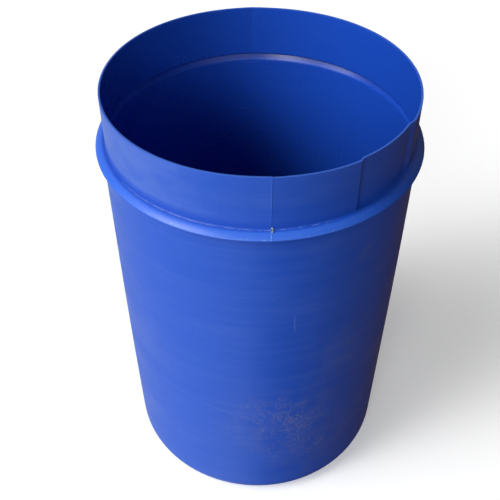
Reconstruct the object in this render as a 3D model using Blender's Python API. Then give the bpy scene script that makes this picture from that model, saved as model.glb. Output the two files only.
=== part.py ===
"""Plastic open head drum, open at the top, with no lid.

The real drum body is one hollow blow moulding. Here its shell is cut, as a saw would cut it,
into the zones that a person would name: base panel, foot ring, heel, side wall, bead and neck.
The taller zones are cut once more at the mould's parting plane, into a left and a right half,
and the neck's recessed panel is a zone of its own. Each zone is one closed solid.

Units are metres. The drum stands on z = 0, its axis is +Z, and its front is -Y.
Azimuths are in degrees, from the front (-Y) towards +X.
"""

import math

import bmesh
import bpy
from mathutils import Vector

# Driving dimensions.
HEIGHT = 0.8985
WALL = 0.0036
NECK_RADIUS = 0.282
NECK_STRAIGHT = 0.0992
BODY_TOP_RADIUS = 0.2886
BODY_BASE_RADIUS = 0.280
BODY_BARREL = 0.0016

# The raised bead under the neck, as tangent arcs: a fillet, a crowned shoulder that slopes down
# to a rounded edge, a sloping underside, and a fillet to the body. Angles are the slopes of the
# outward normal. The groove inside the bead ends in an arc of its own.
NECK_FILLET = 0.0015
SHOULDER_RADIUS = 0.0257
SHOULDER_END = 41.0
EDGE_RADIUS = 0.0024
BEAD_RADIUS = 0.3002
UNDERSIDE_ANGLE = -57.0
UNDER_FILLET = 0.004
GROOVE_RADIUS = 0.0012
COLLAR = 0.004

# The base: a heel radius, a flat foot to stand on, and a panel that is pushed up inside it.
HEEL_RADIUS = 0.042
HEEL_CUT = -45.0
FOOT_WIDTH = 0.0154
FOOT_STEP_WIDTH = 0.012
PANEL_LIFT = 0.010
PANEL_THICKNESS = 0.0045
PANEL_CROWN = 0.004

# The mould's parting plane, and the recessed panel in the neck between its two S-bends.
PARTING = 4.0
RECESS_START = 34.0
RECESS_END = 64.0
RECESS_DEPTH = 0.005

# How finely round shapes are divided, and the gap between neighbouring zones.
SEGMENTS = 72
SEGMENT_ANGLE = 360.0 / SEGMENTS
ARC_STEPS = 4
BODY_STEPS = 4
GAP = 0.0003
GAP_ANGLE = math.degrees(GAP / NECK_RADIUS)
HEEL_GAP_ANGLE = math.degrees(GAP / (HEEL_RADIUS - WALL))

# Places that follow from the dimensions above: (radius, z) centres of the bead's arcs, each
# tangent to the one before, and heights and radii of the other zones.
NECK_FOOT_Z = HEIGHT - NECK_STRAIGHT
NECK_CUT_Z = NECK_FOOT_Z + COLLAR
FILLET_CENTRE = (NECK_RADIUS + NECK_FILLET, NECK_FOOT_Z)
EDGE_CENTRE_RADIUS = BEAD_RADIUS - EDGE_RADIUS
EDGE_REACH = SHOULDER_RADIUS - EDGE_RADIUS
FILLET_REACH = SHOULDER_RADIUS + NECK_FILLET
SHOULDER_CENTRE_RADIUS = EDGE_CENTRE_RADIUS - EDGE_REACH * math.cos(math.radians(SHOULDER_END))
SHOULDER_START = math.degrees(
    math.acos((FILLET_CENTRE[0] - SHOULDER_CENTRE_RADIUS) / FILLET_REACH)
)
SHOULDER_CENTRE = (
    SHOULDER_CENTRE_RADIUS,
    NECK_FOOT_Z - FILLET_REACH * math.sin(math.radians(SHOULDER_START)),
)
EDGE_CENTRE = (
    EDGE_CENTRE_RADIUS,
    SHOULDER_CENTRE[1] + EDGE_REACH * math.sin(math.radians(SHOULDER_END)),
)
RECESS_FADE = 0.006
UNDER_NORMAL = (
    math.cos(math.radians(UNDERSIDE_ANGLE)),
    math.sin(math.radians(UNDERSIDE_ANGLE)),
)
UNDER_CENTRE_RADIUS = BODY_TOP_RADIUS + UNDER_FILLET
UNDER_RUN = EDGE_CENTRE[0] - UNDER_CENTRE_RADIUS + (EDGE_RADIUS + UNDER_FILLET) * UNDER_NORMAL[0]
UNDER_DROP = UNDER_RUN * UNDER_NORMAL[0] / -UNDER_NORMAL[1]
UNDER_CENTRE = (
    UNDER_CENTRE_RADIUS,
    EDGE_CENTRE[1] + (EDGE_RADIUS + UNDER_FILLET) * UNDER_NORMAL[1] - UNDER_DROP,
)
BODY_TOP_Z = UNDER_CENTRE[1] - COLLAR
FOOT_RADIUS = BODY_BASE_RADIUS - HEEL_RADIUS
FOOT_INNER_RADIUS = FOOT_RADIUS - FOOT_WIDTH
PANEL_RADIUS = FOOT_INNER_RADIUS - FOOT_STEP_WIDTH

# High-density polyethylene, pigmented blue.
HDPE_BLUE = (0.02, 0.085, 0.50, 1.0)
HDPE_ROUGHNESS = 0.42
SHARP_ANGLE = 40.0


def clear_scene():
    """Remove what the scene holds, so that the drum is alone in it."""
    for item in list(bpy.data.objects):
        bpy.data.objects.remove(item, do_unlink=True)


def hdpe_material(name):
    """The drum's plastic, as a material of its own for each zone."""
    material = bpy.data.materials.new(name + "_hdpe")
    material.use_nodes = True
    shader = material.node_tree.nodes["Principled BSDF"]
    shader.inputs["Base Color"].default_value = HDPE_BLUE
    shader.inputs["Roughness"].default_value = HDPE_ROUGHNESS
    shader.inputs["Metallic"].default_value = 0.0
    material.diffuse_color = HDPE_BLUE
    return material


def arc(centre, radius, start, end, steps):
    """Points (radius, z) on an arc in the profile plane, both ends included, angles in degrees."""
    points = []
    for step in range(steps + 1):
        angle = math.radians(start + (end - start) * step / steps)
        points.append((centre[0] + radius * math.cos(angle), centre[1] + radius * math.sin(angle)))
    return points


def body_radius(z):
    """The side wall's outer radius at a height: a slight taper with a slight barrel."""
    along = (z - HEEL_RADIUS) / (BODY_TOP_Z - HEEL_RADIUS)
    taper = BODY_BASE_RADIUS + (BODY_TOP_RADIUS - BODY_BASE_RADIUS) * along
    return taper + 4.0 * BODY_BARREL * along * (1.0 - along)


def neck_surface(inset):
    """The straight neck, from the cut rim down to the bead. An inset of WALL gives the inside."""
    radius = NECK_RADIUS - inset
    return [(radius, HEIGHT), (radius, NECK_CUT_Z + GAP)]


def groove_centre():
    """The centre of the groove's end, as far from the shoulder as from the underside."""
    depth = WALL + GROOVE_RADIUS
    start = Vector(EDGE_CENTRE) + (EDGE_RADIUS - depth) * Vector(UNDER_NORMAL)
    inward = Vector((UNDER_NORMAL[1], -UNDER_NORMAL[0]))
    offset = start - Vector(SHOULDER_CENTRE)
    along = offset.dot(inward)
    reach = SHOULDER_RADIUS - depth
    travel = -along - math.sqrt(along * along - offset.length_squared + reach * reach)
    return start + travel * inward


def bead_surface(inset):
    """The bead's profile, from a collar on the neck down to a collar on the side wall."""
    points = [(NECK_RADIUS - inset, NECK_CUT_Z)]
    points += arc(FILLET_CENTRE, NECK_FILLET + inset, 180.0, 180.0 + SHOULDER_START, ARC_STEPS)
    if inset == 0.0:
        points += arc(SHOULDER_CENTRE, SHOULDER_RADIUS, SHOULDER_START, SHOULDER_END, ARC_STEPS)[1:]
        points += arc(EDGE_CENTRE, EDGE_RADIUS, SHOULDER_END, UNDERSIDE_ANGLE, ARC_STEPS)[1:]
    else:
        groove = groove_centre()
        reach = groove - Vector(SHOULDER_CENTRE)
        turn = math.degrees(math.atan2(reach.y, reach.x))
        points += arc(SHOULDER_CENTRE, SHOULDER_RADIUS - inset, SHOULDER_START, turn, 2)[1:]
        points += arc(groove, GROOVE_RADIUS, turn, UNDERSIDE_ANGLE, ARC_STEPS)[1:]
    under_start = 180.0 + UNDERSIDE_ANGLE
    points += arc(UNDER_CENTRE, UNDER_FILLET + inset, under_start, 180.0, ARC_STEPS)
    points.append((BODY_TOP_RADIUS - inset, BODY_TOP_Z + GAP))
    return points


def wall_surface(inset):
    """The side wall, from the bead down to the heel."""
    bottom = HEEL_RADIUS + GAP
    heights = [BODY_TOP_Z + (bottom - BODY_TOP_Z) * i / BODY_STEPS for i in range(BODY_STEPS + 1)]
    return [(body_radius(z) - inset, z) for z in heights]


def heel_surface(inset):
    """The upper half of the rounded heel."""
    return arc((FOOT_RADIUS, HEEL_RADIUS), HEEL_RADIUS - inset, 0.0, HEEL_CUT, ARC_STEPS)


def foot_surface(inset):
    """The lower half of the heel, the flat foot, and the step up to the base panel."""
    centre = (FOOT_RADIUS, HEEL_RADIUS)
    points = arc(centre, HEEL_RADIUS - inset, HEEL_CUT - HEEL_GAP_ANGLE, -90.0, ARC_STEPS)
    points.append((FOOT_INNER_RADIUS, inset))
    points.append((PANEL_RADIUS, PANEL_LIFT + inset))
    return points


def wall_outline(surface):
    """A zone's closed outline: its outer surface down, then the same surface one wall in, up."""
    return surface(0.0) + surface(WALL)[::-1]


def base_panel_outline():
    """Half of the crowned base panel: its top from the axis to the edge, then its underside back."""
    edge = PANEL_RADIUS - GAP
    fractions = (0.0, 0.5, 1.0)
    under = [(edge * f, PANEL_LIFT + PANEL_CROWN * (1.0 - f * f)) for f in fractions]
    over = [(radius, z + PANEL_THICKNESS) for radius, z in under]
    return over + under[::-1]


def recess_at(azimuth, z):
    """How far the neck is pushed in: full between the S-bends, fading out on the bead's shoulder."""
    half = 0.5 * SEGMENT_ANGLE
    if not RECESS_START + half < azimuth < RECESS_END - half:
        return 0.0
    fade = 1.0 - (NECK_FOOT_Z - z) / RECESS_FADE
    return RECESS_DEPTH * min(1.0, max(0.0, fade))


def press_recess(mesh):
    """Move a turned zone's vertices inward where the neck's panel is recessed."""
    for vertex in mesh.verts:
        azimuth = math.degrees(math.atan2(vertex.co.x, -vertex.co.y))
        depth = recess_at(azimuth, vertex.co.z)
        if depth > 0.0:
            radius = math.hypot(vertex.co.x, vertex.co.y)
            vertex.co.x *= (radius - depth) / radius
            vertex.co.y *= (radius - depth) / radius


def turned_zone(name, outline, start=PARTING, sweep=360.0):
    """Turn a closed outline about +Z into one solid, all round or over part of a turn."""
    whole_turn = sweep == 360.0
    first = math.radians(start)
    side = Vector((math.sin(first), -math.cos(first), 0.0))
    mesh = bmesh.new()
    ring = [mesh.verts.new(side * radius + Vector((0.0, 0.0, z))) for radius, z in outline]
    if whole_turn:
        swept = ring + [mesh.edges.new(pair) for pair in zip(ring, ring[1:] + ring[:1])]
    else:
        swept = [mesh.faces.new(ring)]
    bmesh.ops.spin(
        mesh,
        geom=swept,
        cent=(0.0, 0.0, 0.0),
        axis=(0.0, 0.0, 1.0),
        angle=math.radians(sweep),
        steps=round(sweep / SEGMENT_ANGLE),
        use_merge=whole_turn,
    )
    bmesh.ops.remove_doubles(mesh, verts=mesh.verts, dist=0.00001)
    press_recess(mesh)
    bmesh.ops.recalc_face_normals(mesh, faces=mesh.faces)
    data = bpy.data.meshes.new(name)
    mesh.to_mesh(data)
    mesh.free()
    data.materials.append(hdpe_material(name))
    data.shade_smooth()
    data.set_sharp_from_angle(angle=math.radians(SHARP_ANGLE))
    zone = bpy.data.objects.new(name, data)
    bpy.context.scene.collection.objects.link(zone)


def part_zone(name, surface, start, end):
    """One zone of the shell between two azimuths, half a gap short of each."""
    sweep = end - start - GAP_ANGLE
    turned_zone(name, wall_outline(surface), start + 0.5 * GAP_ANGLE, sweep)


def build_base():
    """The pushed-up base panel, and the foot ring around it."""
    turned_zone("base_panel", base_panel_outline())
    turned_zone("foot_ring", wall_outline(foot_surface))


def build_halves():
    """The heel, side wall and bead, each in two halves that meet at the parting plane."""
    surfaces = {"heel": heel_surface, "side_wall": wall_surface, "bead": bead_surface}
    for name, surface in surfaces.items():
        part_zone(name + "_right", surface, PARTING, PARTING + 180.0)
        part_zone(name + "_left", surface, PARTING + 180.0, PARTING + 360.0)


def build_neck():
    """The neck: its left half, then the front, the recessed panel and the rest of the right."""
    part_zone("neck_left", neck_surface, PARTING + 180.0, PARTING + 360.0)
    part_zone("neck_front", neck_surface, PARTING, RECESS_START)
    part_zone("neck_panel", neck_surface, RECESS_START, RECESS_END)
    part_zone("neck_right", neck_surface, RECESS_END, PARTING + 180.0)


clear_scene()
build_base()
build_halves()
build_neck()
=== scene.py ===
"""Looks for the plastic open head drum: one hollow blow moulding of blue high-density polyethylene.

The shell is rebuilt here with fine curves, as five turned pieces that meet edge to edge along one
profile: neck, bead, side wall, foot and base. They carry what a real moulding shows: the parting
line at the two mould halves, the recessed panel in the neck, a line of flash where the shoulder
starts, and a rim that was cut by hand. A shred of flash and the pinch weld under the base are
pieces of their own.

Units are metres. Azimuths are in degrees, from the front (-Y) towards +X.
"""

import math
from collections import namedtuple

import bmesh
import bpy
from mathutils import Matrix, Vector, noise


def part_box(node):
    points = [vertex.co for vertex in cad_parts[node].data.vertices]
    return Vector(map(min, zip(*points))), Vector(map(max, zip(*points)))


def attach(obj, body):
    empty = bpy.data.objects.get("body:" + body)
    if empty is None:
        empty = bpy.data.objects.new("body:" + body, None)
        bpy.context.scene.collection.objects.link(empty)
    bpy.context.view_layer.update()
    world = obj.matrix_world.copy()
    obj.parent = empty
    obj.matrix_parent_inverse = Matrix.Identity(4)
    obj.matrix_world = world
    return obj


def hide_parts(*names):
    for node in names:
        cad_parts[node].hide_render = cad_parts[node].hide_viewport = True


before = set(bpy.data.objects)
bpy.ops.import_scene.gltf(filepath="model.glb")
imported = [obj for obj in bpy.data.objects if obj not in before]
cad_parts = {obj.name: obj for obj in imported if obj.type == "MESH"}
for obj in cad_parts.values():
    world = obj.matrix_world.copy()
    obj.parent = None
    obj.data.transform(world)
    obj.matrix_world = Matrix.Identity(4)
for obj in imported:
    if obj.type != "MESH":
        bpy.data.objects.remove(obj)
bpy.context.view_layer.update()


def outer_radius(node):
    """The largest distance of a CAD node's corners from the drum's axis."""
    return max(math.hypot(v.co.x, v.co.y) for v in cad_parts[node].data.vertices)


# Sizes that the CAD model settles.
RIM_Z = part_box("neck_left")[1].z
NECK_RADIUS = outer_radius("neck_left")
NECK_CUT_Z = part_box("bead_left")[1].z
BEAD_RADIUS = outer_radius("bead_left")
BODY_TOP_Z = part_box("side_wall_left")[1].z
HEEL_TOP_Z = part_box("heel_left")[1].z
BODY_BASE_RADIUS = outer_radius("heel_left")
PANEL_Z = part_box("base_panel")[0].z
PANEL_RADIUS = outer_radius("base_panel")

# Shell profile. Angles are the slopes of the outward normal, in degrees.
WALL = 0.0036
RIM_ROUND = 0.0005
COLLAR = 0.004
NECK_FILLET = 0.0015
SHOULDER_RADIUS = 0.0257
SHOULDER_END = 41.0
EDGE_RADIUS = 0.0024
UNDERSIDE_ANGLE = -57.0
UNDER_FILLET = 0.004
BODY_TOP_RADIUS = 0.2886
BODY_BARREL = 0.0016
FOOT_INNER_RADIUS = 0.2226
FOOT_ROUND = 0.005
PANEL_CROWN = 0.004

# The hollow inside the bead: a narrow groove, a long slope down from it, and a wide fillet whose
# centre lies a little lower than that of the fillet outside.
GROOVE_RADIUS = 0.0012
INSIDE_ANGLE = -28.0
INSIDE_FILLET = 0.012
INSIDE_DROP = 0.0020

# The parting line's two azimuths, its height, how much of that is left on the body, and how the
# neck bulges towards it.
PARTING_AZIMUTHS = (4.0, 184.0)
PARTING_HEIGHT = 0.0004
PARTING_WIDTH = 0.10
PARTING_ON_BODY = 0.06
PARTING_FADE = 0.02
KINK = 0.0016
KINK_LEFT_DECAY = 4.0
KINK_RIGHT_DECAY = 6.0
KINK_REACH = 0.010

# The recessed panel in the neck: where each S-bend starts and ends, and how deep it is.
RECESS_IN = (34.0, 37.0)
RECESS_OUT = (61.5, 65.4)
RECESS_DEPTH = 0.0044

# The rim was cut by hand: a lift left of the front parting line, a drop right of it, a slow wave.
RIM_LIFT = 0.0010
RIM_LIFT_DECAY = 10.0
RIM_DROP = 0.0011
RIM_DROP_SPAN = (2.0, 30.0)
RIM_DROP_END = (70.0, 150.0)
RIM_WAVE = 0.0009
RIM_WAVES = 3.0
RIM_WAVE_PHASE = 15.0
RIM_FADE = 0.060

# Flash where the shoulder starts: its height, how wide it is as an angle round the shoulder, and
# the azimuths where it shows.
FLASH_HEIGHT = 0.0003
FLASH_HALF_WIDTH = 0.9
FLASH_START = -58.0
FLASH_END = 30.0
FLASH_FADE = 12.0

# Where the bead's up-facing crest with its painted highlight and polish starts, as a distance out
# from the neck and an upward slope, and the painted shade in the corner beside the neck.
CREST_REACH = (0.0015, 0.009)
CREST_SLOPE = (0.1, 0.6)
CORNER_REACH = 0.020
CORNER_SHADE = 0.6

# A shred of flash that still hangs on the front parting line, over the shoulder: radius, depth
# below the rim and half width along it. Its thickness, and how steeply the shoulder faces there.
SHRED = (
    (0.2834, 0.0962, 0.0007),
    (0.2843, 0.0985, 0.0019),
    (0.2868, 0.0998, 0.0022),
    (0.2893, 0.1004, 0.0016),
    (0.2912, 0.1003, 0.0006),
)
SHRED_THICKNESS = 0.0007
SHRED_LEAN = 60.0
SHRED_AZIMUTH = 4.3
SHRED_SIDES = 12

# The pinch weld under the base, where the mould closed on the tube of plastic.
WELD_LENGTH = 0.30
WELD_WIDTH = 0.0034
WELD_HEIGHT = 0.0013
WELD_SINK = 0.0006
WELD_STEPS = 48
WELD_SIDES = 8
WELD_END_SHARPNESS = 6
WELD_END_SHARE = 0.05

# Unevenness of the whole shell.
WAVE = 0.0005
WAVE_SCALE = Vector((3.4, 3.4, 2.6))

# Points closer than this are the same point.
SAME_PLACE = 1e-6

# How finely the shell is divided: columns in degrees, and steps along the profile.
COLUMN_STEP = 1.25
COLUMN_GAP = 0.05
PARTING_OFFSETS = (0.08, 0.16, 0.25, 0.40, 0.70)
BEND_STEP = 0.35
NECK_STEPS = 18
FILLET_STEPS = 8
SHOULDER_STEPS = 18
EDGE_STEPS = 14
UNDER_STEPS = 10
BODY_TOP_STEPS = 3
SIDE_WALL_STEPS = 36
HEEL_STEPS = 30
FOOT_STEPS = 6
PANEL_STEPS = 14
RIM_STEPS = 3
SHARP_ANGLE = math.radians(45.0)

FRONT_PARTING = PARTING_AZIMUTHS[0]
NECK_FOOT_Z = NECK_CUT_Z - COLLAR
FOOT_RADIUS = BODY_BASE_RADIUS - HEEL_TOP_Z
KINK_END_RADIUS = NECK_RADIUS + KINK_REACH

# A row of the profile: its outer and its inner point, its outward normal, and how far the neck's
# shape, the parting line, the flash and the crest's painted highlight show there, and how unshaded by
# painted corner shade it is.
Row = namedtuple("Row", "radius z inner_radius inner_z slope_radius slope_z neck seam flash crest worn")

# The bead's arcs: their centres, outside and inside, and the angles where two of them start.
Bead = namedtuple("Bead", "fillet shoulder edge under groove within shoulder_start groove_start")

# What a material works with: a noise's settings, the drum's own inputs, and the marks on it.
Noise = namedtuple("Noise", "grain detail roughness")
Skin = namedtuple("Skin", "place parts flat rings clouds fine outside cut crest")
Marks = namedtuple("Marks", "pale dark dust")


def smooth_step(start, end, value):
    """0 before start, 1 after end, and a smooth rise between them."""
    t = min(1.0, max(0.0, (value - start) / (end - start)))
    return t * t * (3.0 - 2.0 * t)


def arc(centre, radius, angles):
    """Points (radius, z) on an arc in the profile plane, at the angles given in degrees."""
    turns = [math.radians(angle) for angle in angles]
    return [(centre[0] + radius * math.cos(t), centre[1] + radius * math.sin(t)) for t in turns]


def spread(start, end, steps):
    """Evenly spaced values from start to end, both included."""
    return [start + (end - start) * i / steps for i in range(steps + 1)]


def body_radius(z):
    """The side wall's outer radius at a height: a slight taper with a slight barrel."""
    along = (z - HEEL_TOP_Z) / (BODY_TOP_Z - HEEL_TOP_Z)
    taper = BODY_BASE_RADIUS + (BODY_TOP_RADIUS - BODY_BASE_RADIUS) * along
    return taper + 4.0 * BODY_BARREL * along * (1.0 - along)


def slope_axes(angle):
    """For a slope below the bead: its outward normal, and the way down it towards the axis."""
    slope = math.radians(angle)
    normal = Vector((math.cos(slope), math.sin(slope)))
    return normal, Vector((normal.y, -normal.x))


def bead_arcs():
    """The centres of the bead's arcs, each tangent to the one before, and where two of them turn."""
    end = math.radians(SHOULDER_END)
    fillet = Vector((NECK_RADIUS + NECK_FILLET, NECK_FOOT_Z))
    edge_radius = BEAD_RADIUS - EDGE_RADIUS
    shoulder_radius = edge_radius - (SHOULDER_RADIUS - EDGE_RADIUS) * math.cos(end)
    start = math.acos((fillet.x - shoulder_radius) / (SHOULDER_RADIUS + NECK_FILLET))
    drop = (SHOULDER_RADIUS + NECK_FILLET) * math.sin(start)
    shoulder = Vector((shoulder_radius, NECK_FOOT_Z - drop))
    edge = shoulder + (SHOULDER_RADIUS - EDGE_RADIUS) * Vector((math.cos(end), math.sin(end)))
    normal, inward = slope_axes(UNDERSIDE_ANGLE)
    rise = edge + (EDGE_RADIUS + UNDER_FILLET) * normal
    under = rise + inward * (BODY_TOP_RADIUS + UNDER_FILLET - rise.x) / inward.x
    within = Vector((BODY_TOP_RADIUS - WALL + INSIDE_FILLET, under.y - INSIDE_DROP))
    normal, inward = slope_axes(INSIDE_ANGLE)
    offset = within - (INSIDE_FILLET + GROOVE_RADIUS) * normal - shoulder
    along = offset.dot(inward)
    reach = SHOULDER_RADIUS - WALL - GROOVE_RADIUS
    travel = -along - math.sqrt(along * along - offset.length_squared + reach * reach)
    groove = shoulder + offset + travel * inward
    towards = groove - shoulder
    groove_start = math.degrees(math.atan2(towards.y, towards.x))
    return Bead(fillet, shoulder, edge, under, groove, within, math.degrees(start), groove_start)


def neck_points(inset):
    """The neck, from just under the rim down to just above the bead. An inset gives the inside."""
    return [(NECK_RADIUS - inset, z) for z in spread(RIM_Z - RIM_ROUND, NECK_CUT_Z, NECK_STEPS)]


def flash_angles(bead):
    """Angles round the shoulder where the flash starts, peaks and ends."""
    peak = bead.shoulder_start - 2.0 * FLASH_HALF_WIDTH
    return [peak + FLASH_HALF_WIDTH, peak, peak - FLASH_HALF_WIDTH]


def bead_points(inset):
    """The bead, down to the side wall. Outside and inside differ in their lower two arcs."""
    bead = bead_arcs()
    points = [(NECK_RADIUS - inset, NECK_FOOT_Z + 0.5 * COLLAR)]
    fillet_angles = spread(180.0, 180.0 + bead.shoulder_start, FILLET_STEPS)
    points += arc(bead.fillet, NECK_FILLET + inset, fillet_angles)
    shoulder_end = SHOULDER_END if inset == 0.0 else bead.groove_start
    lines = flash_angles(bead)
    shoulder_angles = lines + spread(lines[-1], shoulder_end, SHOULDER_STEPS)[1:]
    points += arc(bead.shoulder, SHOULDER_RADIUS - inset, shoulder_angles)
    if inset == 0.0:
        turns = ((bead.edge, EDGE_RADIUS), (bead.under, UNDER_FILLET), UNDERSIDE_ANGLE)
    else:
        turns = ((bead.groove, GROOVE_RADIUS), (bead.within, INSIDE_FILLET), INSIDE_ANGLE)
    outer_turn, lower_turn, slope_angle = turns
    points += arc(*outer_turn, spread(shoulder_end, slope_angle, EDGE_STEPS)[1:])
    points += arc(*lower_turn, spread(180.0 + slope_angle, 180.0, UNDER_STEPS))
    lower_centre = lower_turn[0]
    heights = spread(lower_centre.y, BODY_TOP_Z, BODY_TOP_STEPS)[1:]
    return points + [(BODY_TOP_RADIUS - inset, z) for z in heights]


def side_wall_points(inset):
    """The side wall, down to a collar above the heel."""
    heights = spread(BODY_TOP_Z, HEEL_TOP_Z + COLLAR, SIDE_WALL_STEPS)[1:]
    return [(body_radius(z) - inset, z) for z in heights]


def foot_points(inset):
    """The rounded heel, the flat foot, and the step up towards the base panel."""
    points = [(BODY_BASE_RADIUS - inset, HEEL_TOP_Z)]
    heel_centre = (FOOT_RADIUS, HEEL_TOP_Z)
    points += arc(heel_centre, HEEL_TOP_Z - inset, spread(0.0, -90.0, HEEL_STEPS))[1:]
    slope = math.atan2(PANEL_Z, FOOT_INNER_RADIUS - PANEL_RADIUS)
    turn = math.degrees(slope)
    back = FOOT_ROUND * math.tan(0.5 * slope)
    outer_centre = (FOOT_INNER_RADIUS + back, FOOT_ROUND)
    inner_centre = (PANEL_RADIUS - back, PANEL_Z - FOOT_ROUND)
    points += arc(outer_centre, FOOT_ROUND - inset, spread(-90.0, -90.0 - turn, FOOT_STEPS))
    points += arc(inner_centre, FOOT_ROUND + inset, spread(90.0 - turn, 90.0, FOOT_STEPS))
    points.append((inner_centre[0] - COLLAR, PANEL_Z + inset))
    return points


def crown_at(share):
    """How far the base panel is crowned up, at a share of the way out to its edge."""
    return PANEL_CROWN * (1.0 - share * share) ** 2


def base_points(inset):
    """The crowned base panel, in to the axis."""
    edge = foot_points(inset)[-1][0]
    fractions = spread(1.0, 0.0, PANEL_STEPS)[1:]
    return [(edge * f, PANEL_Z + crown_at(f) + inset) for f in fractions]


def profile_normals(points):
    """The outward unit normal of the profile at each of its points."""
    normals = []
    for index in range(len(points)):
        before = Vector(points[max(index - 1, 0)])
        after = Vector(points[min(index + 1, len(points) - 1)])
        here = Vector(points[index])
        into = (here - before).normalized() if index > 0 else Vector((0.0, 0.0))
        out = (after - here).normalized() if index < len(points) - 1 else Vector((0.0, 0.0))
        along = (into + out).normalized()
        normals.append((-along.y, along.x))
    return normals


def crest_and_corner_at(point, slope):
    """The painted highlight on the bead's up-facing crest at a point, and 1 less the painted shade in
    the neck's corner.
    """
    reach = smooth_step(*CREST_REACH, point[0] - NECK_RADIUS)
    upper = smooth_step(BODY_TOP_Z, BODY_TOP_Z + COLLAR, point[1])
    crest = reach * upper * smooth_step(*CREST_SLOPE, slope[1])
    # Painted shade: the corner beside the neck is darkened towards the inside's darker blue.
    corner = smooth_step(NECK_FOOT_Z + CORNER_REACH, NECK_FOOT_Z, point[1]) * upper
    return crest, 1.0 - CORNER_SHADE * corner * (1.0 - reach)


def profile_rows():
    """The whole profile as rows, with each piece's first and last row."""
    builders = {
        "drum_neck": neck_points,
        "drum_bead": bead_points,
        "drum_side_wall": side_wall_points,
        "drum_foot": foot_points,
        "drum_base": base_points,
    }
    outer = []
    inner = []
    spans = {}
    for name, builder in builders.items():
        first = max(len(outer) - 1, 0)
        outer += builder(0.0)
        inner += builder(WALL)
        spans[name] = (first, len(outer) - 1)
    bead = bead_arcs()
    flash_place = Vector(arc(bead.shoulder, SHOULDER_RADIUS, flash_angles(bead))[1])
    rows = []
    for here, within, slope in zip(outer, inner, profile_normals(outer)):
        neck = 1.0 - smooth_step(NECK_RADIUS, KINK_END_RADIUS, here[0])
        neck_share = neck if here[1] > BODY_TOP_Z else 0.0
        above_body = smooth_step(BODY_TOP_Z - PARTING_FADE, BODY_TOP_Z, here[1])
        seam = PARTING_ON_BODY + (1.0 - PARTING_ON_BODY) * above_body
        flash = 1.0 if (Vector(here) - flash_place).length < SAME_PLACE else 0.0
        crest, worn = crest_and_corner_at(here, slope)
        rows.append(Row(*here, *within, *slope, neck_share, seam, flash, crest, worn))
    return rows, spans


def column_azimuths():
    """Azimuths of the mesh's columns: even, and finer at the parting lines and the S-bends."""
    columns = set(spread(-180.0, 180.0, round(360.0 / COLUMN_STEP))[:-1])
    for start, end in (RECESS_IN, RECESS_OUT):
        columns |= set(spread(start, end, math.ceil((end - start) / BEND_STEP)))
    for azimuth in (FRONT_PARTING, FRONT_PARTING - 180.0):
        columns.add(azimuth)
        for offset in PARTING_OFFSETS:
            columns |= {azimuth - offset, azimuth + offset}
    ordered = sorted(columns)
    kept = ordered[:1]
    for azimuth in ordered[1:]:
        if azimuth - kept[-1] > COLUMN_GAP:
            kept.append(azimuth)
    return kept


def turn_from(azimuth, centre):
    """The signed angle in degrees from centre to azimuth, between -180 and 180."""
    return (azimuth - centre + 180.0) % 360.0 - 180.0


def kink_at(azimuth):
    """How far the neck stands out towards the parting lines."""
    total = 0.0
    for centre in PARTING_AZIMUTHS:
        turn = turn_from(azimuth, centre)
        decay = KINK_LEFT_DECAY if turn < 0.0 else KINK_RIGHT_DECAY
        total += KINK * math.exp(-abs(turn) / decay)
    return total


def recess_at(azimuth):
    """How far the neck is pushed in at its recessed panel: in with a crease, out with an S-bend."""
    along = (azimuth - RECESS_IN[0]) / (RECESS_IN[1] - RECESS_IN[0])
    into = 1.0 - (1.0 - min(1.0, max(0.0, along))) ** 3
    return RECESS_DEPTH * (into - smooth_step(*RECESS_OUT, azimuth))


def ridge_at(azimuth):
    """The height of the parting line's ridge."""
    turns = [turn_from(azimuth, centre) / PARTING_WIDTH for centre in PARTING_AZIMUTHS]
    return PARTING_HEIGHT * sum(math.exp(-turn * turn) for turn in turns)


def flash_at(azimuth):
    """How much flash is left where the shoulder starts."""
    rise = smooth_step(FLASH_START, FLASH_START + FLASH_FADE, azimuth)
    return rise * (1.0 - smooth_step(FLASH_END - FLASH_FADE, FLASH_END, azimuth))


def rim_lift_at(azimuth):
    """How much higher than nominal the rim was cut."""
    turn = turn_from(azimuth, FRONT_PARTING)
    lift = RIM_LIFT * math.exp(turn / RIM_LIFT_DECAY) if turn < 0.0 else 0.0
    dropped = smooth_step(*RIM_DROP_SPAN, azimuth) * (1.0 - smooth_step(*RIM_DROP_END, azimuth))
    wave = RIM_WAVE * math.cos(math.radians(RIM_WAVES * azimuth + RIM_WAVE_PHASE))
    return lift - RIM_DROP * dropped + wave


def shell_point(row, azimuth, inside):
    """Where a row's outer or inner point lies at an azimuth, with all of the unevenness."""
    radius = row.inner_radius if inside else row.radius
    z = row.inner_z if inside else row.z
    angle = math.radians(azimuth)
    side = Vector((math.sin(angle), -math.cos(angle), 0.0))
    near = side * row.radius + Vector((0.0, 0.0, row.z))
    standing = smooth_step(0.0, HEEL_TOP_Z, row.z) * smooth_step(0.0, FOOT_RADIUS, row.radius)
    shift = WAVE * noise.noise(near * WAVE_SCALE) * standing
    shift += (kink_at(azimuth) - recess_at(azimuth)) * row.neck
    if not inside:
        raised = ridge_at(azimuth) * row.seam + FLASH_HEIGHT * row.flash * flash_at(azimuth)
        radius += raised * row.slope_radius
        z += raised * row.slope_z
    z += rim_lift_at(azimuth) * smooth_step(RIM_Z - RIM_FADE, RIM_Z, row.z)
    return side * (radius + shift) + Vector((0.0, 0.0, z))


def rim_row(radius, z):
    """A row of the cut rim, between the outer and the inner side of the neck."""
    flat = {"slope_radius": 0.0, "slope_z": 0.0, "seam": 0.0, "flash": 0.0, "crest": 0.0}
    return Row(radius, z, radius, z, neck=1.0, worn=1.0, **flat)


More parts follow.
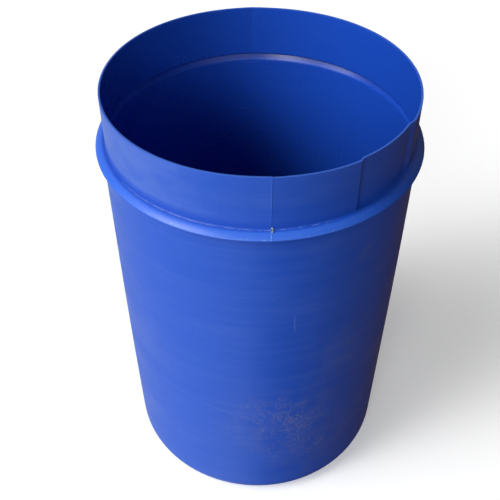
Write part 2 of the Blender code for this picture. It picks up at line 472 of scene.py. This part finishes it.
def rim_rows():
    """The cut rim's top, from its inner rounded edge to its outer one."""
    inner_centre = (NECK_RADIUS - WALL + RIM_ROUND, RIM_Z - RIM_ROUND)
    outer_centre = (NECK_RADIUS - RIM_ROUND, RIM_Z - RIM_ROUND)
    points = arc(inner_centre, RIM_ROUND, spread(180.0, 90.0, RIM_STEPS))[1:]
    points += arc(outer_centre, RIM_ROUND, spread(90.0, 0.0, RIM_STEPS))[:-1]
    return [rim_row(radius, z) for radius, z in points]


def turned_piece(name, rows, rim=()):
    """One closed piece of the shell: its outer rows, its inner rows, and the rim if it has one."""
    columns = column_azimuths()
    ring = [(row, False, 0.0) for row in rows]
    ring += [(row, True, 0.0) for row in reversed(rows)]
    ring += [(row, False, 1.0) for row in rim]
    mesh = bmesh.new()
    outside = mesh.verts.layers.float.new("outside")
    flash = mesh.verts.layers.float.new("flash")
    cut = mesh.verts.layers.float.new("cut")
    crest = mesh.verts.layers.float.new("crest")
    lines = []
    for row, inside, cut_share in ring:
        on_axis = row.radius < SAME_PLACE
        line = []
        for azimuth in columns[:1] if on_axis else columns:
            vertex = mesh.verts.new(shell_point(row, azimuth, inside))
            # Outside points carry 1, less in the neck's corner, which painted shade darkens towards the
            # inside blue.
            vertex[outside] = 0.0 if inside else row.worn
            vertex[flash] = 0.0 if inside else row.flash * flash_at(azimuth)
            vertex[cut] = cut_share
            vertex[crest] = 0.0 if inside else row.crest
            line.append(vertex)
        lines.append(line * len(columns) if on_axis else line)
    for upper, lower in zip(lines, lines[1:] + lines[:1]):
        for i in range(len(columns)):
            j = (i + 1) % len(columns)
            corners = list(dict.fromkeys((upper[i], upper[j], lower[j], lower[i])))
            if len(corners) > 2:
                mesh.faces.new(corners)
    return finish_piece(name, mesh)


def finish_piece(name, mesh):
    """Turn a closed mesh into a smooth-shaded object that rides on the drum."""
    bmesh.ops.recalc_face_normals(mesh, faces=mesh.faces)
    data = bpy.data.meshes.new(name)
    mesh.to_mesh(data)
    mesh.free()
    data.shade_smooth()
    data.set_sharp_from_angle(angle=SHARP_ANGLE)
    piece = bpy.data.objects.new(name, data)
    bpy.context.scene.collection.objects.link(piece)
    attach(piece, "root")
    return piece


def swept_piece(name, sections):
    """One closed piece through a row of sections, each a ring of the same number of points."""
    mesh = bmesh.new()
    outside = mesh.verts.layers.float.new("outside")
    rings = [[mesh.verts.new(point) for point in section] for section in sections]
    for vertex in mesh.verts:
        vertex[outside] = 1.0
    for ring, after in zip(rings, rings[1:]):
        for i in range(len(ring)):
            j = (i + 1) % len(ring)
            mesh.faces.new((ring[i], ring[j], after[j], after[i]))
    mesh.faces.new(rings[0])
    mesh.faces.new(rings[-1])
    return finish_piece(name, mesh)


def build_shred():
    """The shred of flash on the shoulder, bent over and pointed at both ends."""
    angle = math.radians(SHRED_AZIMUTH)
    lean = math.radians(SHRED_LEAN)
    out = Vector((math.sin(angle), -math.cos(angle), 0.0))
    across = Vector((math.cos(angle), math.sin(angle), 0.0))
    off = out * math.cos(lean) + Vector((0.0, 0.0, math.sin(lean)))
    turns = [math.tau * side / SHRED_SIDES for side in range(SHRED_SIDES)]
    thick = 0.5 * SHRED_THICKNESS
    sections = []
    for radius, depth, half_width in SHRED:
        centre = out * radius + Vector((0.0, 0.0, RIM_Z - depth)) + off * SHRED_THICKNESS
        ring = [centre + across * half_width * math.cos(t) + off * thick * math.sin(t) for t in turns]
        sections.append(ring)
    shred = swept_piece("flash_shred", sections)
    shred.data.materials.append(shred_material())


def build_weld(material):
    """The pinch weld: a low rounded bar across the base panel, fading out at its ends."""
    angle = math.radians(FRONT_PARTING)
    along = Vector((math.sin(angle), -math.cos(angle), 0.0))
    across = Vector((math.cos(angle), math.sin(angle), 0.0))
    edge = foot_points(0.0)[-1][0]
    turns = [math.pi * side / WELD_SIDES for side in range(WELD_SIDES + 1)]
    sections = []
    for share in spread(-1.0, 1.0, WELD_STEPS):
        place = 0.5 * WELD_LENGTH * share
        fade = math.sqrt(max(0.0, 1.0 - share ** WELD_END_SHARPNESS)) + WELD_END_SHARE
        base = along * place + Vector((0.0, 0.0, PANEL_Z + crown_at(place / edge) + WELD_SINK))
        half = 0.5 * WELD_WIDTH * fade
        drop = Vector((0.0, 0.0, -(WELD_HEIGHT + WELD_SINK) * fade))
        sections.append([base + across * half * math.cos(t) + drop * math.sin(t) for t in turns])
    weld = swept_piece("pinch_weld", sections)
    weld.data.materials.append(material)


def build_shell():
    """The five turned pieces, each in place of the CAD nodes that it stands for."""
    stands_for = {
        "drum_neck": ("neck_left", "neck_front", "neck_panel", "neck_right"),
        "drum_bead": ("bead_left", "bead_right"),
        "drum_side_wall": ("side_wall_left", "side_wall_right"),
        "drum_foot": ("heel_left", "heel_right", "foot_ring"),
        "drum_base": ("base_panel",),
    }
    rows, spans = profile_rows()
    material = hdpe_material()
    for name, (first, last) in spans.items():
        rim = rim_rows() if name == "drum_neck" else ()
        piece = turned_piece(name, rows[first : last + 1], rim)
        piece.data.materials.append(material)
        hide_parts(*stands_for[name])
    build_shred()
    build_weld(material)


# Material: one blue plastic. The outside is paler than the inside: the inside's darker blue is painted
# shade for the dim interior.
OUTSIDE_BLUE = (0.010, 0.084, 0.555)
SHADED_INSIDE_BLUE = (0.010, 0.068, 0.47)
# Painted highlight on the bead's up-facing crest.
CREST_BLUE = (0.040, 0.150, 0.70)
CUT_BLUE = (0.035, 0.125, 0.58)
DEEP_BLUE = (0.010, 0.050, 0.36)
CHALK = (0.12, 0.21, 0.60)
DUST = (0.27, 0.25, 0.24)
PALE_FLASH = (0.34, 0.52, 0.70)
SHRED_PALE = (0.30, 0.46, 0.44)
SHRED_DARK = (0.02, 0.035, 0.05)

# Roughness, what dust and the saw add to it, and what handling and the mould take off it. The
# bumps' heights, in metres, and how strongly they show.
BASE_ROUGHNESS = 0.40
MOTTLE = (-0.06, 0.08)
GRAIN_ROUGHNESS = 0.10
DULLING = 0.35
CREST_POLISH = 0.05
INSIDE_POLISH = 0.16
POLISH_FADE = (0.0, 0.3)
SHRED_ROUGHNESS = (0.35, 0.60)
SKIN_BUMP = 0.00005
SAW_BUMP = 0.00025
BUMP_STRENGTH = 0.6

# How much of its colour each kind of wear gives, where it is strongest.
RING_CHALK = 0.09
CLOUD_CHALK = 0.08
SMEAR_CHALK = (0.42, 0.02)
SPECK_CHALK = 0.6
STREAK_SHARE = 0.06
SCUFF_SHARE = 0.22
MARK_SHARE = 0.50
SCRATCH_SHARE = 0.60

# Where handling has rubbed the neck most, as a span of X, and up the neck; and the span of X over
# which the crest's painted highlight and polish fade towards the shaded right.
NECK_RUB_SPAN = (-0.26, 0.02)
NECK_RUB_RISE = (-0.01, 0.02)
CREST_SHEEN_SPAN = (0.05, 0.26)
CREST_SHEEN_END = 0.10

# Noises: features per metre (in X, Y and Z, or round the drum and up it), detail and roughness.
RINGS = Noise((2.6, 2.6, 95.0), 4.0, 0.60)
CLOUDS = Noise((7.0, 7.0, 11.0), 5.0, 0.62)
FINE_GRAIN = Noise((260.0, 260.0, 260.0), 2.0, 0.55)
STREAKS = Noise((70.0, 2.5, 1.0), 3.0, 0.55)
DASHES = Noise((90.0, 4.0, 1.0), 3.0, 0.70)
FLECKS = Noise((75.0, 260.0, 1.0), 3.0, 0.70)
SAW_LINES = Noise((900.0, 1.0, 1.0), 2.0, 0.55)
DUST_CLUMPS = Noise((24.0, 24.0, 24.0), 5.0, 0.70)
DUST_GRAINS = Noise((300.0, 300.0, 300.0), 3.0, 0.55)
SHRED_GRAINS = Noise((900.0, 900.0, 900.0), 3.0, 0.55)
SHRED_DIRT = Noise((420.0, 420.0, 420.0), 2.0, 0.55)

# The values of a noise between which what it drives comes in, and how far scratches are broken.
RING_SPAN = (0.40, 0.72)
CLOUD_SPAN = (0.48, 0.75)
SMEAR_SPAN = (0.36, 0.62)
MOTTLE_SPAN = (0.30, 0.70)
STREAK_SPAN = (0.35, 0.70)
DASH_SPAN = (0.42, 0.56)
FLECK_SPAN = (0.60, 0.70)
CLUMP_SPAN = (0.34, 0.66)
DUST_SPAN = (0.42, 0.66)
THIN_SPAN = (0.35, 0.65)
DIRT_SPAN = (0.44, 0.54)
BREAK_SPAN = (0.30, 0.55)
BREAK_SHARES = (0.35, 1.0)

# Specks: how close their cells are, their radius as a share of a cell, and how rare they are.
SPECKS_PER_METRE = 70.0
SPECK_RADIUS = (0.05, 0.11)
SPECK_RARITY = 0.93

# The radius at which marks round the drum are measured, and how far out a scratch has faded, as a
# share of its half width.
WEAR_RADIUS = 0.288
SCRATCH_FADE = 1.6

# Dust: where each patch is, as an azimuth, a height and a reach, and how thick it is.
DUST_PATCHES = (
    (12.0, 0.27, 0.17, 0.62),
    (27.0, 0.17, 0.17, 0.45),
    (37.0, 0.43, 0.15, 0.30),
    (39.5, 0.698, 0.022, 0.60),
    (-128.0, 0.18, 0.18, 0.45),
    (118.0, 0.30, 0.14, 0.35),
)

# Scratches: points as azimuths and heights, joined in order, with each line's half width.
PALE_SCRATCHES = (
    (0.00075, ((-50.0, 0.317), (-43.0, 0.3235), (-34.8, 0.327), (-20.8, 0.317), (-2.4, 0.294))),
    (0.0010, ((13.1, 0.592), (13.6, 0.555))),
    (0.0007, ((96.0, 0.52), (104.0, 0.47), (109.0, 0.38))),
    (0.0007, ((-150.0, 0.60), (-141.0, 0.63), (-126.0, 0.62))),
    (0.0008, ((171.0, 0.33), (169.0, 0.26))),
)
DARK_MARKS = (
    (0.0008, ((-1.2, 0.425), (-1.0, 0.375))),
    (0.0007, ((-11.5, 0.515), (-11.3, 0.490))),
    (0.0007, ((1.6, 0.512), (1.7, 0.485))),
    (0.0008, ((11.0, 0.540), (11.5, 0.495))),
    (0.0008, ((22.0, 0.555), (22.4, 0.520))),
    (0.0007, ((-24.0, 0.545), (-24.0, 0.515))),
    (0.0008, ((140.0, 0.70), (141.0, 0.66))),
)


def add_node(tree, kind, inputs=None, **settings):
    """Add a shader node, set it up, and link or set its inputs."""
    made = tree.nodes.new("ShaderNode" + kind)
    for key, value in settings.items():
        setattr(made, key, value)
    for key, value in (inputs or {}).items():
        if isinstance(value, bpy.types.NodeSocket):
            tree.links.new(value, made.inputs[key])
        else:
            made.inputs[key].default_value = value
    return made


def compute(tree, operation, first, *others):
    """The result of Math nodes that work through the values from left to right."""
    result = first
    for other in others or (0.0,):
        result = add_node(tree, "Math", {0: result, 1: other}, operation=operation).outputs[0]
    return result


def noise_at(tree, place, kind):
    """A kind of noise over a place."""
    stretched = add_node(tree, "Mapping", {"Vector": place, "Scale": kind.grain}).outputs[0]
    settings = {"Vector": stretched, "Scale": 1.0, "Detail": kind.detail, "Roughness": kind.roughness}
    return add_node(tree, "TexNoise", settings).outputs["Fac"]


def remap(tree, value, start, end, low=0.0, high=1.0):
    """A value carried smoothly from the range start to end into the range low to high."""
    limits = {"Value": value, "From Min": start, "From Max": end, "To Min": low, "To Max": high}
    return add_node(tree, "MapRange", limits, interpolation_type="SMOOTHSTEP").outputs[0]


def blend(tree, factor, under, over):
    """The colour under, covered by the colour over as far as the factor says."""
    made = add_node(tree, "Mix", {"Factor": factor}, data_type="RGBA")
    for key, colour in (("A", under), ("B", over)):
        if isinstance(colour, bpy.types.NodeSocket):
            tree.links.new(colour, made.inputs[key])
        else:
            made.inputs[key].default_value = (*colour, 1.0)
    return made.outputs["Result"]


def attribute(tree, name):
    """A value that the mesh carries at its points."""
    return add_node(tree, "Attribute", attribute_name=name).outputs["Fac"]


def wrapped_place(tree, parts):
    """The place on the drum laid flat: distance round it, height, and nothing."""
    front = compute(tree, "MULTIPLY", parts["Y"], -1.0)
    azimuth = compute(tree, "ARCTAN2", parts["X"], front)
    around = compute(tree, "MULTIPLY", azimuth, WEAR_RADIUS)
    return add_node(tree, "CombineXYZ", {"X": around, "Y": parts["Z"]}).outputs[0]


def flat_point(azimuth, height):
    """A point on the drum laid flat."""
    return Vector((math.radians(azimuth) * WEAR_RADIUS, height, 0.0))


def line_mask(tree, flat, half_width, points):
    """1 on a joined line of points and 0 away from it."""
    nearest = None
    for start, end in zip(points, points[1:]):
        first, last = flat_point(*start), flat_point(*end)
        along = (last - first) / (last - first).length_squared
        offset = add_node(tree, "VectorMath", {0: flat, 1: first}, operation="SUBTRACT").outputs[0]
        dot = add_node(tree, "VectorMath", {0: offset, 1: along}, operation="DOT_PRODUCT")
        share = add_node(tree, "Clamp", {"Value": dot.outputs["Value"]}).outputs[0]
        reached = add_node(tree, "VectorMath", {0: last - first, "Scale": share}, operation="SCALE")
        gap = add_node(tree, "VectorMath", {0: offset, 1: reached.outputs[0]}, operation="DISTANCE")
        distance = gap.outputs["Value"]
        nearest = distance if nearest is None else compute(tree, "MINIMUM", nearest, distance)
    return remap(tree, nearest, 0.0, SCRATCH_FADE * half_width, 1.0, 0.0)


def lines_mask(tree, flat, lines, broken):
    """All of a group of lines, thinned out by a broken noise."""
    total = 0.0
    for half_width, points in lines:
        total = compute(tree, "MAXIMUM", total, line_mask(tree, flat, half_width, points))
    return compute(tree, "MULTIPLY", total, broken)


def dust_mask(tree, flat, place):
    """Patches of dust, each thick in its middle and broken up by a speckle."""
    total = 0.0
    for azimuth, height, reach, thickness in DUST_PATCHES:
        centre = flat_point(azimuth, height)
        gap = add_node(tree, "VectorMath", {0: flat, 1: centre}, operation="DISTANCE").outputs["Value"]
        total = compute(tree, "MAXIMUM", total, remap(tree, gap, 0.0, reach, thickness, 0.0))
    clumps = remap(tree, noise_at(tree, place, DUST_CLUMPS), *CLUMP_SPAN)
    grains = remap(tree, noise_at(tree, place, DUST_GRAINS), *DUST_SPAN)
    return compute(tree, "MULTIPLY", clumps, grains, total)


def skin_inputs(tree):
    """What the plastic's looks are worked out from: places, noises, and what the mesh carries."""
    place = add_node(tree, "TexCoord").outputs["Object"]
    parts = add_node(tree, "SeparateXYZ", {0: place}).outputs
    flat = wrapped_place(tree, parts)
    rings = noise_at(tree, place, RINGS)
    clouds = noise_at(tree, place, CLOUDS)
    fine = noise_at(tree, place, FINE_GRAIN)
    # The crest's painted highlight and polish fade out towards the shaded right.
    crest_sheen = remap(tree, parts["X"], *CREST_SHEEN_SPAN, 1.0, CREST_SHEEN_END)
    crest = compute(tree, "MULTIPLY", attribute(tree, "crest"), crest_sheen)
    outside = attribute(tree, "outside")
    return Skin(place, parts, flat, rings, clouds, fine, outside, attribute(tree, "cut"), crest)


def speck_mask(tree, place):
    """Small round specks in a few cells of a grid."""
    specks = add_node(tree, "TexVoronoi", {"Vector": place, "Scale": SPECKS_PER_METRE})
    size = remap(tree, specks.outputs["Distance"], *SPECK_RADIUS, 1.0, 0.0)
    lot = add_node(tree, "SeparateColor", {0: specks.outputs["Color"]}).outputs[0]
    return compute(tree, "MULTIPLY", size, compute(tree, "GREATER_THAN", lot, SPECK_RARITY))


def chalk_mask(tree, skin):
    """How chalky the outside is: faint rings and clouds, smears on the neck's left, and specks."""
    bottom, top = [NECK_FOOT_Z + rise for rise in NECK_RUB_RISE]
    on_neck = remap(tree, skin.parts["Z"], bottom, top)
    to_the_left = remap(tree, skin.parts["X"], *NECK_RUB_SPAN, *SMEAR_CHALK)
    smears = compute(tree, "MULTIPLY", remap(tree, skin.clouds, *SMEAR_SPAN), to_the_left, on_neck)
    ringed = compute(tree, "MULTIPLY", remap(tree, skin.rings, *RING_SPAN), RING_CHALK)
    clouded = compute(tree, "MULTIPLY", remap(tree, skin.clouds, *CLOUD_SPAN), CLOUD_CHALK)
    chalk = compute(tree, "ADD", ringed, smears, clouded)
    specks = compute(tree, "MULTIPLY", speck_mask(tree, skin.place), SPECK_CHALK)
    return compute(tree, "MULTIPLY", compute(tree, "MAXIMUM", chalk, specks), skin.outside)


def outside_marks(tree, skin):
    """The scratches, the dark marks and the dust, which only the outside has."""
    broken = remap(tree, skin.fine, *BREAK_SPAN, *BREAK_SHARES)
    pale = lines_mask(tree, skin.flat, PALE_SCRATCHES, broken)
    dark = lines_mask(tree, skin.flat, DARK_MARKS, broken)
    dust = dust_mask(tree, skin.flat, skin.place)
    return Marks(*[compute(tree, "MULTIPLY", mask, skin.outside) for mask in (pale, dark, dust)])


def outside_colour(tree, skin):
    """The outside's blue: chalk, dark streaks, and a painted highlight on the up-facing crest with
    scuff flecks on it.
    """
    colour = blend(tree, chalk_mask(tree, skin), OUTSIDE_BLUE, CHALK)
    streaks = remap(tree, noise_at(tree, skin.flat, STREAKS), *STREAK_SPAN)
    colour = blend(tree, compute(tree, "MULTIPLY", streaks, STREAK_SHARE), colour, DEEP_BLUE)
    colour = blend(tree, skin.crest, colour, CREST_BLUE)
    flecks = remap(tree, noise_at(tree, skin.flat, FLECKS), *FLECK_SPAN)
    return blend(tree, compute(tree, "MULTIPLY", flecks, skin.crest, SCUFF_SHARE), colour, PALE_FLASH)


def skin_colour(tree, skin, marks):
    """The plastic's colour inside and out; the inside's darker blue is painted shade, also painted into
    the neck's corner. Then the marks, the cut rim and the flash.
    """
    dashes = remap(tree, noise_at(tree, skin.flat, DASHES), *DASH_SPAN)
    flash = compute(tree, "MULTIPLY", attribute(tree, "flash"), dashes)
    colour = blend(tree, skin.outside, SHADED_INSIDE_BLUE, outside_colour(tree, skin))
    colour = blend(tree, compute(tree, "MULTIPLY", marks.dark, MARK_SHARE), colour, DEEP_BLUE)
    colour = blend(tree, marks.dust, colour, DUST)
    colour = blend(tree, compute(tree, "MULTIPLY", marks.pale, SCRATCH_SHARE), colour, CHALK)
    colour = blend(tree, skin.cut, colour, CUT_BLUE)
    return blend(tree, flash, colour, PALE_FLASH)


def skin_roughness(tree, skin, marks):
    """Roughness: mottled, duller where there is dust or a cut, glossier on the crest and inside."""
    low, high = [BASE_ROUGHNESS + change for change in MOTTLE]
    mottle = remap(tree, skin.clouds, *MOTTLE_SPAN, low, high)
    centred = compute(tree, "SUBTRACT", skin.fine, 0.5)
    grain = compute(tree, "MULTIPLY", centred, GRAIN_ROUGHNESS)
    dull = compute(tree, "MULTIPLY", compute(tree, "MAXIMUM", marks.dust, skin.cut), DULLING)
    crest_sheen = compute(tree, "MULTIPLY", skin.crest, CREST_POLISH)
    smooth = remap(tree, skin.outside, *POLISH_FADE, INSIDE_POLISH, 0.0)
    return compute(tree, "SUBTRACT", compute(tree, "ADD", mottle, grain, dull), crest_sheen, smooth)


def skin_height(tree, skin, marks):
    """Bumps: a fine grain, faint rings, scored marks, and the saw's lines on the rim."""
    saw = noise_at(tree, skin.flat, SAW_LINES)
    sawn = compute(tree, "MULTIPLY", saw, skin.cut, SAW_BUMP)
    grained = compute(tree, "MULTIPLY", compute(tree, "ADD", skin.fine, skin.rings), SKIN_BUMP)
    scored = compute(tree, "MULTIPLY", compute(tree, "ADD", marks.pale, marks.dark), -SKIN_BUMP)
    return compute(tree, "ADD", grained, scored, sawn)


def new_material(name):
    """A new material, with its node tree and its shader."""
    material = bpy.data.materials.new(name)
    material.use_nodes = True
    tree = material.node_tree
    return material, tree, tree.nodes["Principled BSDF"]


def finish_shader(tree, shader, colour, roughness, height):
    """Link a shader's colour and roughness, and the bumps of its surface."""
    tree.links.new(colour, shader.inputs["Base Color"])
    tree.links.new(roughness, shader.inputs["Roughness"])
    bump = add_node(tree, "Bump", {"Height": height, "Strength": BUMP_STRENGTH, "Distance": 1.0})
    tree.links.new(bump.outputs[0], shader.inputs["Normal"])


def hdpe_material():
    """Blue polyethylene: flow streaks, a chalky outside, dust, scratches, flash and a sawn rim, with
    painted shade inside and a painted highlight on the crest.
    """
    material, tree, shader = new_material("hdpe_blue")
    skin = skin_inputs(tree)
    marks = outside_marks(tree, skin)
    colour = skin_colour(tree, skin, marks)
    roughness = skin_roughness(tree, skin, marks)
    finish_shader(tree, shader, colour, roughness, skin_height(tree, skin, marks))
    return material


def shred_material():
    """The shred of flash: pale where it is thin, with a dirty end."""
    material, tree, shader = new_material("flash_pale")
    place = add_node(tree, "TexCoord").outputs["Object"]
    grains = noise_at(tree, place, SHRED_GRAINS)
    dirt = remap(tree, noise_at(tree, place, SHRED_DIRT), *DIRT_SPAN)
    thin = blend(tree, remap(tree, grains, *THIN_SPAN), SHRED_PALE, PALE_FLASH)
    colour = blend(tree, dirt, thin, SHRED_DARK)
    roughness = remap(tree, grains, *MOTTLE_SPAN, *SHRED_ROUGHNESS)
    finish_shader(tree, shader, colour, roughness, compute(tree, "MULTIPLY", grains, SAW_BUMP))
    return material


# Camera: where it stands, how it is turned, and its lens.
CAMERA_PLACE = Vector((0.0, -1.1967, 1.6011))
CAMERA_PITCH = math.radians(-42.834)
CAMERA_YAW = math.radians(-0.830)
CAMERA_ROLL = math.radians(0.219)
CAMERA_LENS = 55.80
CAMERA_SENSOR = 36.0

# Studio light: soft sources in the sky, each with an azimuth, an elevation, a strength and a power
# that sets how narrow it is. From below, light comes back off a floor that is bright on the left.
# The backdrop is what the camera sees past the floor.
SOURCES = (
    (-77.0, 55.0, 7.2, 80.0),
    (-62.0, 45.0, 14.3, 80.0),
    (-63.0, 35.0, 4.5, 80.0),
    (-50.0, 35.0, 5.0, 80.0),
    (-20.0, 25.0, 10.8, 80.0),
    (-60.0, 10.0, 1.8, 10.0),
    (18.0, 10.0, 1.15, 12.0),
    (-64.0, 23.0, 3.5, 120.0),
    (-165.0, 30.0, 0.4, 8.0),
    (140.0, 20.0, 0.25, 12.0),
)
FLOOR_LEFT = (0.57, 0.64, 0.70)
FLOOR_RIGHT = (0.11, 0.062, 0.040)
FLOOR_BLEND = 0.12
BACKDROP = (0.97, 0.97, 0.97)

# The floor that the drum stands on: its size, its colour and how much it glows.
FLOOR_SIZE = 16.0
FLOOR_PALE = (0.92, 0.92, 0.92)
FLOOR_ROUGHNESS = 0.9
FLOOR_GLOW = 0.30


def direction(azimuth, elevation):
    """The unit vector towards an azimuth and an elevation, in degrees."""
    a, e = math.radians(azimuth), math.radians(elevation)
    return Vector((math.sin(a) * math.cos(e), -math.cos(a) * math.cos(e), math.sin(e)))


def sky_lobe(tree, towards, axis, strength, power):
    """A soft source in the sky: strongest along its axis, gone at right angles to it."""
    facing = add_node(tree, "VectorMath", {0: towards, 1: axis}, operation="DOT_PRODUCT")
    front = compute(tree, "MAXIMUM", facing.outputs["Value"])
    return compute(tree, "MULTIPLY", compute(tree, "POWER", front, power), strength)


def build_light():
    """The studio's light, all of it from the world, and a plain pale background."""
    world = bpy.data.worlds.new("studio")
    bpy.context.scene.world = world
    world.use_nodes = True
    tree = world.node_tree
    tree.nodes.clear()
    towards = add_node(tree, "TexCoord").outputs["Generated"]
    sky = 0.0
    for azimuth, elevation, strength, power in SOURCES:
        source = sky_lobe(tree, towards, direction(azimuth, elevation), strength, power)
        sky = compute(tree, "ADD", source, sky)
    parts = add_node(tree, "SeparateXYZ", {0: towards}).outputs
    rightward = remap(tree, parts["X"], -FLOOR_BLEND, FLOOR_BLEND)
    ground = blend(tree, rightward, FLOOR_LEFT, FLOOR_RIGHT)
    lit = blend(tree, compute(tree, "GREATER_THAN", parts["Z"]), ground, sky)
    seen = add_node(tree, "LightPath").outputs["Is Camera Ray"]
    lights = add_node(tree, "Background", {"Color": lit})
    backdrop = add_node(tree, "Background", {"Color": (*BACKDROP, 1.0)})
    shown = add_node(tree, "MixShader", {0: seen, 1: lights.outputs[0], 2: backdrop.outputs[0]})
    add_node(tree, "OutputWorld", {"Surface": shown.outputs[0]})


def build_floor():
    """A plain pale floor, which doesn't throw its own light back at the drum."""
    bpy.ops.mesh.primitive_plane_add(size=FLOOR_SIZE)
    floor = bpy.context.object
    floor.name = "studio_floor"
    material, _, shader = new_material("floor_pale")
    shader.inputs["Base Color"].default_value = (*FLOOR_PALE, 1.0)
    shader.inputs["Roughness"].default_value = FLOOR_ROUGHNESS
    shader.inputs["Specular IOR Level"].default_value = 0.0
    shader.inputs["Emission Color"].default_value = (1.0, 1.0, 1.0, 1.0)
    shader.inputs["Emission Strength"].default_value = FLOOR_GLOW
    floor.data.materials.append(material)
    floor.visible_diffuse = False
    floor.visible_glossy = False


def build_camera():
    """The camera, at the height and distance of someone who looks down at the drum."""
    level = Vector((math.sin(CAMERA_YAW), math.cos(CAMERA_YAW), 0.0))
    forward = level * math.cos(CAMERA_PITCH) + Vector((0.0, 0.0, math.sin(CAMERA_PITCH)))
    right = forward.cross(Vector((0.0, 0.0, 1.0))).normalized()
    up = right.cross(forward)
    c, s = math.cos(CAMERA_ROLL), math.sin(CAMERA_ROLL)
    turned_right = c * right + s * up
    turned_up = c * up - s * right
    data = bpy.data.cameras.new("camera")
    data.sensor_width = CAMERA_SENSOR
    data.lens = CAMERA_LENS
    camera = bpy.data.objects.new("camera", data)
    axes = Matrix((turned_right, turned_up, -forward)).transposed().to_4x4()
    camera.matrix_world = Matrix.Translation(CAMERA_PLACE) @ axes
    bpy.context.scene.collection.objects.link(camera)
    bpy.context.scene.camera = camera


build_shell()
build_light()
build_floor()
build_camera()
bpy.context.scene.view_settings.view_transform = "Standard"
